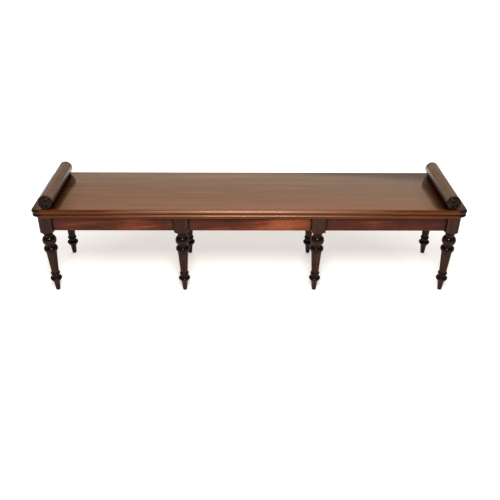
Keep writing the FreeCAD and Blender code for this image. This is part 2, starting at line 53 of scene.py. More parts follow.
# Lining strips and rails
LINING_CORNER, LINING_EASE = 0.027, 0.002
RAIL_EASE, TENON_SHOULDER, TENON_LENGTH, END_TENON_LENGTH = 0.0015, 0.0065, 0.024, 0.018
# Turned rolls: the shares are places across the boss and across the ring
RIM_WIDTH, RIM_ROUND, RIM_STEPS = 0.007, 0.006, 10
GROOVE_WIDTH, GROOVE_DEPTH = 0.002, 0.0025
RING_WIDTH, RING_CROWN = 0.006, 0.0015
RING_SHARES = (0.15, 0.35, 0.5, 0.65, 0.85)
RECESS_WIDTH, RECESS_DEPTH = 0.006, 0.0045
BOSS_CROWN = 0.0025
BOSS_SHARES = (0, 0.25, 0.5, 0.75, 0.9, 1)
END_BAND = 0.011
# Turned legs, from the floor up
FOOT_END, FOOT_ROUND, FOOT_TOP, FOOT_HEIGHT = 0.00975, 0.0015, 0.01375, 0.042
ANKLE, ANKLE_LOW, ANKLE_HIGH, ANKLE_CROWN, ANKLE_SLOPE = 0.023, 0.0565, 0.0675, 0.0025, 0.0045
COLLAR, COLLAR_LOW, COLLAR_HIGH, COLLAR_CROWN = 0.017, 0.0825, 0.0935, 0.0034
SHAFT_LOW, SHAFT_FOOT, SHAFT_TOP, SHAFT_HEAD, COVE_BOW = 0.016, 0.096, 0.022, 0.1945, 0.0012
KNEE, FILLET_LOW, KNEE_LOW, KNEE_HIGH, KNEE_CROWN = 0.02375, 0.1995, 0.204, 0.2275, 0.006
WAIST, WAIST_LOW, BALL_LOW, BALL_HIGH, BALL_CROWN = 0.020, 0.231, 0.237, 0.278, 0.010
NECK, POMMEL_BOTTOM, POMMEL_TOP, POMMEL_BOW = 0.019, 0.2875, 0.3105, 0.003
BLOCK_WIDTH, BLOCK_EASE, BLOCK_CORNER = 0.060, 0.0012, 0.024
# How far stock runs on past a cut, and how near two points count as one
OVERRUN, TOUCH = 0.01, 1e-5
# Faces look smooth up to this angle between them
SMOOTH_ANGLE = math.radians(32)
# Place in a piece's list of finishes for the faces that don't take the first one
EDGE_FACES, UNDERSIDE_FACES, INSIDE_FACES, END_FACES = 1, 2, 1, 1
# A rail's face counts as inside when its normal leans at least this far towards the middle of the bench
INWARD = -0.9

# Sockets of a mix node that hold its mask and its colours
MIX_MASK, MIX_FIRST, MIX_SECOND, MIX_RESULT = 0, 6, 7, 2
# Turns that lay the grain along an axis of the bench, or a little off it
GRAIN_TILT = 0.07
ALONG_X, ALONG_Y, ALONG_Z = (0, 0, 0), (0, 0, math.pi / 2), (0, math.pi / 2, 0)
TILTED_X, TILTED_Y = (0, GRAIN_TILT, 0), (GRAIN_TILT, 0, math.pi / 2)
# Layers of the grain: stretch along it, then the noise's detail, roughness and distortion
GRAIN_LAYERS = {"Figure": (0.55, 3.0, 0.55, 1.4), "Streaks": (0.05, 5.0, 0.62, 0.5),
                "Fibres": (0.02, 3.0, 0.6, 0.0), "Pores": (0.03, 1.0, 0.5, 0.0)}
FIBRE_SCALE, PORE_SCALE, PORE_RANGE = 620.0, 1500.0, (0.60, 0.72)
# Age and painted shade: how far a hollow and an arris reach, how open they are where a mark starts and is
# full
HOLLOW_REACH, ARRIS_REACH, OPEN_SAMPLES = 0.012, 0.003, 6
HOLLOW_RANGE, ARRIS_RANGE = (0.96, 0.58), (0.80, 0.35)
PATCH_SCALE, PATCH_DETAIL, PATCH_ROUGHNESS = 26.0, 5.0, 0.6
# Polished wood: shares of dark fibres and pores, what rubbing adds to the roughness, and the relief
FIBRE_SHARE, FIBRE_TONE, PORE_SHARE = 0.3, 0.5, 0.5
RUBBED_ROUGHNESS = 0.1
PORE_SINK, FIBRE_RISE, PATCH_RISE, RELIEF_DEPTH = -0.6, 0.25, 1.2, 0.0006
POLISH_IOR, VARNISH_ROUGHNESS = 1.5, 0.06
# The dark polish colour also paints shade, in hollows and on shaded ends and rings
DARK_POLISH_AND_SHADE, WORN_POLISH = (0.008, 0.003, 0.002), (0.34, 0.13, 0.05)
# Pale colours of painted light: a painted highlight on the edge's rounds, and painted light on the seat's
# front
PAINTED_HIGHLIGHT, PAINTED_FRONT_LIGHT = (0.50, 0.25, 0.15), (0.325, 0.156, 0.095)
# Red wax colour, also painting the shade and the dark mirror image of the rolls beside them on the seat
RED_WAX_AND_SHADE = (0.018, 0.0022, 0.0003)
# Colours of each mahogany from dark to pale grain, each with the tone that it stands for
SEAT_SHADES = ((0.34, (0.049, 0.016, 0.006)), (0.50, (0.104, 0.038, 0.016)), (0.66, (0.194, 0.076, 0.033)))
EDGE_SHADES = ((0.30, (0.085, 0.018, 0.003)), (0.48, (0.180, 0.045, 0.008)), (0.68, (0.285, 0.088, 0.020)))
RAIL_SHADES = ((0.34, (0.034, 0.010, 0.006)), (0.50, (0.140, 0.031, 0.014)), (0.66, (0.440, 0.108, 0.042)))
LEG_SHADES = ((0.30, (0.014, 0.004, 0.002)), (0.50, (0.042, 0.012, 0.005)), (0.70, (0.095, 0.027, 0.012)))
ROLL_SHADES = ((0.34, (0.038, 0.016, 0.008)), (0.50, (0.086, 0.037, 0.017)), (0.66, (0.170, 0.066, 0.028)))
ROLL_END_SHADES = ((0.30, (0.005, 0.002, 0.001)), (0.50, (0.018, 0.008, 0.004)),
                   (0.70, (0.060, 0.026, 0.012)))
# Share of painted shade, in dark polish, by the distance from the middle of the bench, or from the floor on
# a leg
# Painted shade on the ends of the board's moulded edge, which turn away from the light
BOARD_END_SHADE = ((0.55, 0.0), (0.75, 0.22), (0.866, 0.25), (0.884, 0.9))
# Painted shade near the ends of each roll
ROLL_END_SHADE = ((0.160, 0.0), (0.178, 0.8))
# Painted shade and painted dark reflection on the legs' rings and the upper half of each ball
LEG_SHADE_BANDS = ((0.000, 0.10), (0.047, 0.15), (0.054, 0.80), (0.095, 0.80), (0.099, 0.0), (0.204, 0.0),
             (0.207, 0.92), (0.230, 0.92), (0.238, 0.0), (0.253, 0.0), (0.264, 0.85), (0.286, 0.85),
             (0.292, 0.0))
# Painted shadow on the rails beside the leg blocks
RAIL_JOINT_SHADOW = ((0.254, 0.0), (0.2615, 0.95), (0.3235, 0.95), (0.331, 0.0), (0.828, 0.0), (0.8355, 0.95))
# Weight of the varnish on the seat by the distance from its middle
SEAT_SHEEN = ((0.0, 0.22), (0.3, 0.20), (0.55, 0.12), (0.80, 0.0), (0.862, 0.0), (0.874, 0.45))
# Paler and darker boards from left to right along the bench: 0.5 leaves the tone as it is
BENCH_HALF, BOARD_SWING = 0.915, 0.36
# On the seat the tone also falls towards the ends as painted shade, where the sheen fades
SEAT_BOARDS_AND_SHADE = ((-0.9, 0.42), (-0.6, 0.50), (-0.25, 0.55), (0.1, 0.52), (0.5, 0.32), (0.9, 0.15))
LEG_BOARDS = ((-0.87, 0.36), (-0.29, 0.50), (0.29, 0.66), (0.87, 0.56))
RAIL_BOARDS = ((-0.84, 0.25), (-0.68, 0.20), (-0.50, 0.42), (-0.38, 0.46), (-0.28, 0.32), (-0.12, 0.34),
               (0.0, 0.60), (0.12, 0.90), (0.26, 0.85), (0.32, 0.42), (0.84, 0.25))
# Distances from the middle where the painted highlight on the edge, and the lessening of shade in the seat's
# hollows, start and are full, and their share there
EDGE_HIGHLIGHT, SEAT_SHADE_SPARED = (0.62, 0.12, 1.0), (0.864, 0.876, 0.3)
# How far up a round faces, from where the painted highlight starts to where it is full
HIGHLIGHT_FACING = (0.05, 0.55)
# Where the seat gets painted light: front to back, and between the rolls
FRONT_LIGHT_FORWARD, FRONT_LIGHT_BETWEEN = (0.12, -0.20), (0.82, 0.72)
# Sawn wood out of sight, rougher in patches
SAWN_SHADES = ((0.3, (0.090, 0.044, 0.020)), (0.5, (0.165, 0.088, 0.042)), (0.7, (0.250, 0.145, 0.075)))
SAWN_FIBRE, SAWN_FIBRE_SHARE = (0.12, 0.07, 0.04), 0.4
SAWN_GRIME_AND_SHADE, SAWN_GRIME_AND_SHADE_SHARE = (0.03, 0.018, 0.010), 0.7
SAWN_SCALE, SAWN_ROUGHNESS, SAWN_ROUGHER = 90.0, 0.6, 0.2
SAWN_RELIEF, SAWN_DEPTH, SAWN_LUSTRE = 0.4, 0.0008, 0.2
# Screw steel, smoother where it is bright
STEEL_SHADES = ((0.35, (0.085, 0.050, 0.032)), (0.6, (0.30, 0.285, 0.27)))
STEEL_GRIME_AND_SHADE = (0.03, 0.02, 0.015)
SPECKLE_SCALE, SPECKLE_DETAIL = 420.0, 4.0
STEEL_ROUGHNESS, STEEL_SMOOTHER, STEEL_METAL = 0.62, -0.3, 0.9

# Studio: a floor whose glow gains outside an oval, and a pale sweep that polish mirrors
FLOOR_SIZE, FLOOR_PAINT, FLOOR_GLOW = 40, (0.83, 0.79, 0.75, 1), (1, 0.985, 0.97, 1)
FLOOR_OVAL, FLOOR_FADE, FLOOR_NEAR, FLOOR_GAIN = (0.75, 1.3, 0), (0.55, 1.5), 0.46, 0.6
WHITE, WORLD_LIGHT, ROOM_DIM = (1, 1, 1, 1), 0.26, 0.1
SWEEP_SIDE, SWEEP_HEIGHT, SWEEP_FOOT, SWEEP_TOP = 0.4, (0.05, 0.45), 0.5, 0.2
# Camera of the photograph: millimetres, metres and degrees
SENSOR_WIDTH, LENS, FAR_CLIP = 36, 45.156, 100
CAMERA_PLACE, CAMERA_YAW, CAMERA_PITCH, CAMERA_ROLL = (-0.0302, -2.5112, 1.6276), -0.758, 31.161, 0.433


def arc(start, end, rise, steps):
    """Points after the start along an arc that rises to the right of travel over its chord."""
    start, end = Vector(start), Vector(end)
    chord = end - start
    side = Vector((chord.y, -chord.x)).normalized()
    radius = ((chord.length / 2) ** 2 + rise**2) / (2 * rise)
    centre = (start + end) / 2 - side * (radius - rise)
    first = start - centre
    turn = math.copysign(2 * math.asin(min(1.0, chord.length / 2 / abs(radius))), radius)
    points = []
    for step in range(1, steps + 1):
        angle = turn * step / steps
        cos, sin = math.cos(angle), math.sin(angle)
        points.append(tuple(centre + Vector((first.x * cos - first.y * sin, first.x * sin + first.y * cos))))
    return points


def quarter(start, end, steps):
    """Points after the start along a quarter round that bulges to the right of travel."""
    chord = (Vector(end) - Vector(start)).length
    return arc(start, end, chord / 2 * (math.sqrt(2) - 1), steps)


def ease(start, end, steps=6):
    """Quarter round between two points given by setback and height."""
    return [(-x, z) for x, z in quarter((-start[0], start[1]), (-end[0], end[1]), steps)]


def pick(test, kind="VERT"):
    """Select just the points, edges or faces that pass a test of their middle and themselves."""
    bpy.ops.mesh.select_all(action="DESELECT")
    bpy.ops.mesh.select_mode(type=kind)
    mesh = bmesh.from_edit_mesh(bpy.context.object.data)
    for item in {"VERT": mesh.verts, "EDGE": mesh.edges, "FACE": mesh.faces}[kind]:
        if kind == "VERT":
            item.select_set(test(item.co, item))
        else:
            middle = sum((point.co for point in item.verts), Vector()) / len(item.verts)
            item.select_set(test(middle, item))
    mesh.select_flush_mode()
    bmesh.update_edit_mesh(bpy.context.object.data)


def close(value, target):
    """Whether two lengths are the same for a maker."""
    return abs(value - target) < TOUCH


def is_upright(edge):
    """Whether an edge runs straight up."""
    first, second = (point.co for point in edge.verts)
    return close(first.x, second.x) and close(first.y, second.y)


def begin(name):
    """A new piece in edit mode that is still one point at the origin."""
    bpy.ops.object.select_all(action="DESELECT")
    bpy.ops.mesh.primitive_plane_add(size=0.01)
    piece = bpy.context.object
    piece.name = piece.data.name = name
    bpy.ops.object.mode_set(mode="EDIT")
    bpy.ops.mesh.select_mode(type="VERT")
    bpy.ops.mesh.select_all(action="SELECT")
    bpy.ops.mesh.merge(type="CENTER")
    return piece


def stock(name, low, high):
    """A squared length of wood in edit mode, between two corners."""
    bpy.ops.object.select_all(action="DESELECT")
    bpy.ops.mesh.primitive_cube_add(size=1)
    piece = bpy.context.object
    piece.name = piece.data.name = name
    bpy.ops.object.mode_set(mode="EDIT")
    bpy.ops.mesh.select_all(action="SELECT")
    bpy.ops.transform.resize(value=Vector(high) - Vector(low))
    bpy.ops.transform.translate(value=(Vector(high) + Vector(low)) / 2)
    return piece


def draw(points):
    """Run the selected point out into a chain through the points."""
    points = [Vector(point) for point in points]
    bpy.ops.transform.translate(value=points[0])
    for start, end in zip(points, points[1:]):
        bpy.ops.mesh.extrude_vertices_move(TRANSFORM_OT_translate={"value": end - start})


def seal():
    """Merge the seams of a shape and turn its faces outwards."""
    bpy.ops.mesh.select_all(action="SELECT")
    bpy.ops.mesh.remove_doubles(threshold=TOUCH)
    bpy.ops.mesh.normals_make_consistent(inside=False)


def done(piece):
    """Leave edit mode with the faces smooth up to an angle."""
    bpy.ops.object.mode_set(mode="OBJECT")
    bpy.ops.object.select_all(action="DESELECT")
    piece.select_set(True)
    bpy.context.view_layer.objects.active = piece
    bpy.ops.object.shade_smooth_by_angle(angle=SMOOTH_ANGLE)
    return piece


def apply(piece, kind, **settings):
    """Add a modifier and apply it."""
    modifier = piece.modifiers.new(kind.lower(), kind)
    for key, value in settings.items():
        setattr(modifier, key, value)
    bpy.context.view_layer.objects.active = piece
    bpy.ops.object.modifier_apply(modifier=modifier.name)


def copy_to(piece, name, place, quarter_turns):
    """A copy with its own mesh, turned about the upright axis and moved, its place kept in the mesh."""
    twin = piece.copy()
    twin.data = piece.data.copy()
    twin.name = twin.data.name = name
    scene.collection.objects.link(twin)
    twin.data.transform(Matrix.Translation(place) @ Matrix.Rotation(quarter_turns * math.pi / 2, 4, "Z"))
    return twin


def board_profile(bottom, top):
    """Setback and height along the moulded edge, from the underside out and up to the top."""
    bead_top = bottom + BEAD_HEIGHT
    nosing_low = bead_top + QUIRK_HEIGHT
    nosing_top = nosing_low + NOSING_HEIGHT
    run = [(BEAD_SETBACK + BEAD_ROUND, bottom)]
    run += ease(run[-1], (BEAD_SETBACK, bottom + BEAD_ROUND))
    run.append((BEAD_SETBACK, bead_top - BEAD_ROUND))
    run += ease(run[-1], (BEAD_SETBACK + BEAD_ROUND, bead_top))
    run += [(QUIRK_DEPTH, bead_top), (QUIRK_DEPTH, nosing_low), (NOSING_LOWER, nosing_low)]
    run += ease(run[-1], (0, nosing_low + NOSING_LOWER))
    run.append((0, nosing_top - NOSING_UPPER))
    run += ease(run[-1], (NOSING_UPPER, nosing_top), steps=10)
    run += [(STEP_SETBACK, nosing_top), (STEP_SETBACK, top - STEP_ROUND)]
    return run + ease(run[-1], (STEP_SETBACK + STEP_ROUND, top), steps=3)


def make_seat_board():
    """Spin the moulding round one corner, run it out along two sides and mirror it."""
    low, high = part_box("seat_board")
    board = begin("moulded_seat_board")
    corner = Vector((high.x - CORNER, low.y + CORNER, 0))
    run = board_profile(low.z, high.z)
    draw([(corner.x, corner.y - (CORNER - setback), z) for setback, z in run])
    bpy.ops.mesh.select_all(action="SELECT")
    bpy.ops.mesh.spin(steps=16, angle=-math.pi / 2, center=corner, axis=(0, 0, 1))
    pick(lambda middle, _: close(middle.x, corner.x))
    bpy.ops.mesh.extrude_region_move(TRANSFORM_OT_translate={"value": (-corner.x, 0, 0)})
    pick(lambda middle, _: close(middle.y, corner.y))
    bpy.ops.mesh.extrude_region_move(TRANSFORM_OT_translate={"value": (0, -corner.y, 0)})
    bpy.ops.object.mode_set(mode="OBJECT")
    apply(board, "MIRROR", use_axis=(True, True, False), merge_threshold=TOUCH)
    bpy.ops.object.mode_set(mode="EDIT")
    for height in (low.z, high.z):
        pick(lambda middle, _: close(middle.z, height))
        bpy.ops.mesh.edge_face_add()
    seal()
    done(board)
    for face in board.data.polygons:
        if close(face.center.z, low.z):
            face.material_index = UNDERSIDE_FACES
        elif not close(face.center.z, high.z):
            face.material_index = EDGE_FACES
    return board


def make_long_lining(node, name):
    """Strip under the front or back edge, its outer corners rounded and its lower rim eased."""
    low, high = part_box(node)
    outer, inner = (low.y, high.y) if low.y < 0 else (high.y, low.y)
    lining = stock(name, low, high)
    pick(lambda middle, edge: is_upright(edge) and close(middle.y, outer), "EDGE")
    bpy.ops.mesh.bevel(offset=LINING_CORNER, segments=14, affect="EDGES")
    pick(lambda middle, edge: all(close(point.co.z, low.z) for point in edge.verts)
         and not all(close(point.co.y, inner) for point in edge.verts), "EDGE")
    bpy.ops.mesh.bevel(offset=LINING_EASE, segments=4, affect="EDGES")
    seal()
    return done(lining)


def make_rail(node, name, axis, tenon):
    """Rail with a tenon at each end and its lower arrises eased."""
    low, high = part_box(node)
    low, high = low.copy(), high.copy()
    low[axis] += tenon
    high[axis] -= tenon
    rail = stock(name, low, high)
    way = Vector((0, 0, 0))
    way[axis] = tenon
    for end, sign in ((low, -1), (high, 1)):
        pick(lambda middle, face: close(middle[axis], end[axis]), "FACE")
        bpy.ops.mesh.inset(thickness=TENON_SHOULDER)
        bpy.ops.mesh.extrude_region_move(TRANSFORM_OT_translate={"value": way * sign})
    length = high[axis] - low[axis]
    pick(lambda middle, edge: close(middle.z, low.z) and close(edge.calc_length(), length), "EDGE")
    bpy.ops.mesh.bevel(offset=RAIL_EASE, segments=4, affect="EDGES")
    seal()
    done(rail)
    outwards = (low + high) / 2
    outwards[axis] = outwards.z = 0
    for face in rail.data.polygons:
        if face.normal.dot(outwards.normalized()) < INWARD:
            face.material_index = INSIDE_FACES
    return rail


def roll_end(radius):
    """Radius and depth of a roll's ringed end, from the middle of its boss out to its rim."""
    rim_in = radius - RIM_WIDTH
    ring_out = rim_in - GROOVE_WIDTH
    ring_in = ring_out - RING_WIDTH
    boss = ring_in - RECESS_WIDTH
    run = [(boss * share, BOSS_CROWN * share**2) for share in BOSS_SHARES]
    run += [(boss, RECESS_DEPTH), (ring_in, RECESS_DEPTH), (ring_in, RING_CROWN)]
    for share in RING_SHARES:
        run.append((ring_in + RING_WIDTH * share, RING_CROWN * (2 * share - 1) ** 2))
    run += [(ring_out, RING_CROWN), (ring_out, GROOVE_DEPTH), (rim_in, GROOVE_DEPTH), (rim_in, 0)]
    run.append((radius - RIM_ROUND, 0))
    for step in range(1, RIM_STEPS + 1):
        angle = math.pi / 2 * step / RIM_STEPS
        run.append((radius - RIM_ROUND * (1 - math.sin(angle)), RIM_ROUND * (1 - math.cos(angle))))
    return run


def make_roll(node, name):
    """Roll turned about its own length, planed flat underneath."""
    low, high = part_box(node)
    radius = (high.x - low.x) / 2
    axis = Vector(((low.x + high.x) / 2, 0, high.z - radius))
    run = roll_end(radius) + [(radius, END_BAND)]
    front = [(r, low.y + depth) for r, depth in run]
    back = [(r, high.y - depth) for r, depth in run]
    roll = begin(name)
    draw([(axis.x + r, y, axis.z) for r, y in front + back[::-1]])
    bpy.ops.mesh.select_all(action="SELECT")
    bpy.ops.mesh.spin(steps=80, angle=2 * math.pi, center=axis, axis=(0, 1, 0))
    seal()
    bpy.ops.mesh.select_all(action="SELECT")
    bpy.ops.mesh.bisect(plane_co=(axis.x, 0, low.z), plane_no=(0, 0, -1), use_fill=True, clear_outer=True)
    seal()
    done(roll)
    for face in roll.data.polygons:
        if abs(face.center.y) > high.y - END_BAND:
            face.material_index = END_FACES
    return roll


def leg_profile(top):
    """Radius and height along a turned leg, from the floor up past the corners of its head block."""
    run = [(0, 0), (FOOT_END - FOOT_ROUND, 0)]
    run += quarter(run[-1], (FOOT_END, FOOT_ROUND), steps=4)
    run += [(FOOT_TOP, FOOT_HEIGHT), (ANKLE, ANKLE_LOW)]
    run += arc(run[-1], (ANKLE, ANKLE_HIGH), ANKLE_CROWN, steps=8)
    run += [(COLLAR, ANKLE_HIGH + ANKLE_SLOPE), (COLLAR, COLLAR_LOW)]
    run += arc(run[-1], (COLLAR, COLLAR_HIGH), COLLAR_CROWN, steps=8)
    run += [(SHAFT_LOW, SHAFT_FOOT), (SHAFT_TOP, SHAFT_HEAD)]
    run += arc(run[-1], (KNEE, FILLET_LOW), -COVE_BOW, steps=5)
    run.append((KNEE, KNEE_LOW))
    run += arc(run[-1], (KNEE, KNEE_HIGH), KNEE_CROWN, steps=14)
    run += [(WAIST, WAIST_LOW), (WAIST, BALL_LOW)]
    run += arc(run[-1], (WAIST, BALL_HIGH), BALL_CROWN, steps=22)
    run += [(NECK, BALL_HIGH), (NECK, POMMEL_BOTTOM)]
    reach = BLOCK_WIDTH / 2 * math.sqrt(2) + BLOCK_EASE
    run += arc(run[-1], (reach, POMMEL_TOP), -POMMEL_BOW, steps=12)
    return run + [(reach, top + OVERRUN), (0, top + OVERRUN)]


def make_turned_leg(name, rounded_corner):
    """Leg turned from squared stock: the square is left at its head."""
    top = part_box("front_inner_left_leg")[1].z
    leg = begin(name)
    draw([(r, 0, z) for r, z in leg_profile(top)])
    bpy.ops.mesh.select_all(action="SELECT")
    bpy.ops.mesh.spin(steps=72, angle=2 * math.pi, center=(0, 0, 0), axis=(0, 0, 1))
    seal()
    bpy.ops.object.mode_set(mode="OBJECT")
    half = BLOCK_WIDTH / 2
    square = stock(name + "_stock", (-half, -half, -OVERRUN), (half, half, top))
    if rounded_corner:
        pick(lambda middle, edge: is_upright(edge) and middle.x < 0 and middle.y < 0, "EDGE")
        bpy.ops.mesh.bevel(offset=BLOCK_CORNER, segments=14, affect="EDGES")
    pick(lambda middle, edge: is_upright(edge) and close(abs(middle.x), half)
         and close(abs(middle.y), half), "EDGE")
    bpy.ops.mesh.bevel(offset=BLOCK_EASE, segments=4, affect="EDGES")
    seal()
    bpy.ops.object.mode_set(mode="OBJECT")
    apply(leg, "BOOLEAN", operation="INTERSECT", object=square, solver="EXACT")
    bpy.data.objects.remove(square)
    bpy.ops.object.mode_set(mode="EDIT")
    seal()
    return done(leg)


def add_node(tree, kind, values=None, **settings):
    """A shader node with its settings and input values, each a socket or a plain value."""
    made = tree.nodes.new(kind)
    for key, value in settings.items():
        setattr(made, key, value)
    for key, value in (values or {}).items():
        if hasattr(value, "is_output"):
            tree.links.new(value, made.inputs[key])
        else:
            made.inputs[key].default_value = value
    return made


def reckon(tree, operation, *terms):
    """One step of arithmetic on sockets and numbers."""
    return add_node(tree, "ShaderNodeMath", dict(enumerate(terms)), operation=operation).outputs[0]


def remap(tree, value, start, end, low=0.0, high=1.0, **settings):
    """A value that goes from low to high as another one goes from its start to its end."""
    values = {"Value": value, "From Min": start, "From Max": end, "To Min": low, "To Max": high}
    return add_node(tree, "ShaderNodeMapRange", values, **settings).outputs[0]


def scale_vector(tree, vector, factors):
    """A vector with each part of it multiplied."""
    return add_node(tree, "ShaderNodeVectorMath", {0: vector, 1: factors}, operation="MULTIPLY").outputs[0]


def split(tree, vector):
    """The three parts of a vector."""
    return add_node(tree, "ShaderNodeSeparateXYZ", {0: vector}).outputs


def noise(tree, place, scale, detail, roughness=0.5, distortion=0.0):
    """Soft noise between 0 and 1."""
    values = {"Vector": place, "Scale": scale, "Detail": detail, "Roughness": roughness,
              "Distortion": distortion}
    return add_node(tree, "ShaderNodeTexNoise", values).outputs["Fac"]


def openness(tree, reach, inside=False):
    """How open the surface lies within a reach, or how thick the wood is behind it."""
    return add_node(tree, "ShaderNodeAmbientOcclusion", {"Distance": reach}, samples=OPEN_SAMPLES,
                    inside=inside).outputs["AO"]


def ramp(tree, factor, stops):
    """A colour ramp through (position, colour) stops."""
    made = add_node(tree, "ShaderNodeValToRGB", {"Fac": factor})
    elements = made.color_ramp.elements
    while len(elements) < len(stops):
        elements.new(0.5)
    for element, (position, colour) in zip(elements, stops):
        element.position = position
        element.color = (*colour, 1)
    return made.outputs["Color"]


def mix_colour(tree, mask, colour, over):
    """A colour with another one laid over it through a mask."""
    values = {MIX_MASK: mask, MIX_FIRST: colour, MIX_SECOND: (*over, 1)}
    return add_node(tree, "ShaderNodeMix", values, data_type="RGBA").outputs[MIX_RESULT]


def lay_over(tree, mask, share, colour, over):
    """A colour with another one laid over it through a share of a mask."""
    return mix_colour(tree, reckon(tree, "MULTIPLY", mask, share), colour, over)


def from_middle(tree, place, axis):
    """Distance from the middle of the bench along one axis."""
    return reckon(tree, "ABSOLUTE", split(tree, place)[axis])


def by_distance(tree, place, axis, stops):
    """A value by the distance from the middle along one axis, through (distance, value) stops."""
    span = stops[-1][0]
    away = reckon(tree, "DIVIDE", from_middle(tree, place, axis), span)
    return ramp(tree, away, [(distance / span, (value,) * 3) for distance, value in stops])


def new_group(name, inputs, outputs):
    """An empty node group that takes a place and named numbers, and puts out named values."""
    group = bpy.data.node_groups.new(name, "ShaderNodeTree")
    group.interface.new_socket("Place", in_out="INPUT", socket_type="NodeSocketVector")
    for way, labels in (("INPUT", inputs), ("OUTPUT", outputs)):
        for label in labels:
            group.interface.new_socket(label, in_out=way, socket_type="NodeSocketFloat")
    return group, group.nodes.new("NodeGroupInput").outputs, group.nodes.new("NodeGroupOutput").inputs


def make_grain_group():
    """Mahogany grain that runs along X: slow figure, streaks, fibres and open pores."""
    group, given, out = new_group("mahogany_grain", ("Figure Scale", "Streak Scale"), GRAIN_LAYERS)
    scales = {"Figure": given["Figure Scale"], "Streaks": given["Streak Scale"],
              "Fibres": FIBRE_SCALE, "Pores": PORE_SCALE}
    for label, (along, *character) in GRAIN_LAYERS.items():
        stretched = scale_vector(group, given["Place"], (along, 1, 1))
        layer = noise(group, stretched, scales[label], *character)
        if label == "Pores":
            layer = remap(group, layer, *PORE_RANGE)
        group.links.new(layer, out[label])
    return group


def make_age_group():
    """Age and painted shade: dust, wax and shade in hollows, thin polish on arrises, rubbed patches."""
    group, given, out = new_group("aged_polish_and_shade", ("Hollow Reach",), ("Wax And Shade", "Arrises", "Rubbing"))
    hollow = openness(group, given["Hollow Reach"])
    arris = openness(group, ARRIS_REACH, inside=True)
    patches = noise(group, given["Place"], PATCH_SCALE, PATCH_DETAIL, PATCH_ROUGHNESS)
    bare = remap(group, arris, *ARRIS_RANGE)
    group.links.new(remap(group, hollow, *HOLLOW_RANGE), out["Wax And Shade"])
    group.links.new(reckon(group, "MULTIPLY", bare, patches), out["Arrises"])
    group.links.new(patches, out["Rubbing"])
    return group


grain_group = make_grain_group()
age_group = make_age_group()


def lay_grain(tree, place, grain_way, figure_scale, streak_scale):
    """The layers of the grain, along one way of the bench."""
    along = add_node(tree, "ShaderNodeMapping", {"Vector": place, "Rotation": grain_way}).outputs[0]
    values = {"Place": along, "Figure Scale": figure_scale, "Streak Scale": streak_scale}
    return add_node(tree, "ShaderNodeGroup", values, node_tree=grain_group).outputs


def lay_age(tree, place, hollow_reach):
    """The marks of age, with painted shade in the hollows."""
    values = {"Place": place, "Hollow Reach": hollow_reach}
    return add_node(tree, "ShaderNodeGroup", values, node_tree=age_group).outputs


def blank_material(name):
    """A new material that holds only the place on the bench."""
    material = bpy.data.materials.new(name)
    material.use_nodes = True
    tree = material.node_tree
    tree.nodes.clear()
    return material, tree, add_node(tree, "ShaderNodeTexCoord").outputs["Object"]


def paint_edge_highlight(tree, place, colour, start, full, share):
    """Painted highlight: paler colour on the upper rounds of an edge, towards the middle of its length."""
    near = remap(tree, from_middle(tree, place, X), start, full, high=share)
    normal = add_node(tree, "ShaderNodeNewGeometry").outputs["Normal"]
    upper = remap(tree, split(tree, normal)[Z], *HIGHLIGHT_FACING)
    return lay_over(tree, near, upper, colour, PAINTED_HIGHLIGHT)


def paint_front_light(tree, place, colour, share):
    """Painted light: paler colour on the seat between the rolls, towards its front edge."""
    front = remap(tree, split(tree, place)[Y], *FRONT_LIGHT_FORWARD, high=share)
    between = remap(tree, from_middle(tree, place, X), *FRONT_LIGHT_BETWEEN)
    return lay_over(tree, front, between, colour, PAINTED_FRONT_LIGHT)


def spare_end_shade(tree, place, mask, start, full, share):
    """Less wax and painted shade in the hollows towards the ends of the bench."""
    kept = remap(tree, from_middle(tree, place, X), start, full, low=1.0, high=share)
    return reckon(tree, "MULTIPLY", mask, kept)


def shift_tone(tree, place, tone, boards):
    """Slow change of tone from board to board along the bench."""
    along = remap(tree, split(tree, place)[X], -BENCH_HALF, BENCH_HALF)
    curve = ramp(tree, along, [((x / BENCH_HALF + 1) / 2, (share,) * 3) for x, share in boards])
    return reckon(tree, "ADD", tone, reckon(tree, "MULTIPLY_ADD", curve, BOARD_SWING, -BOARD_SWING / 2))


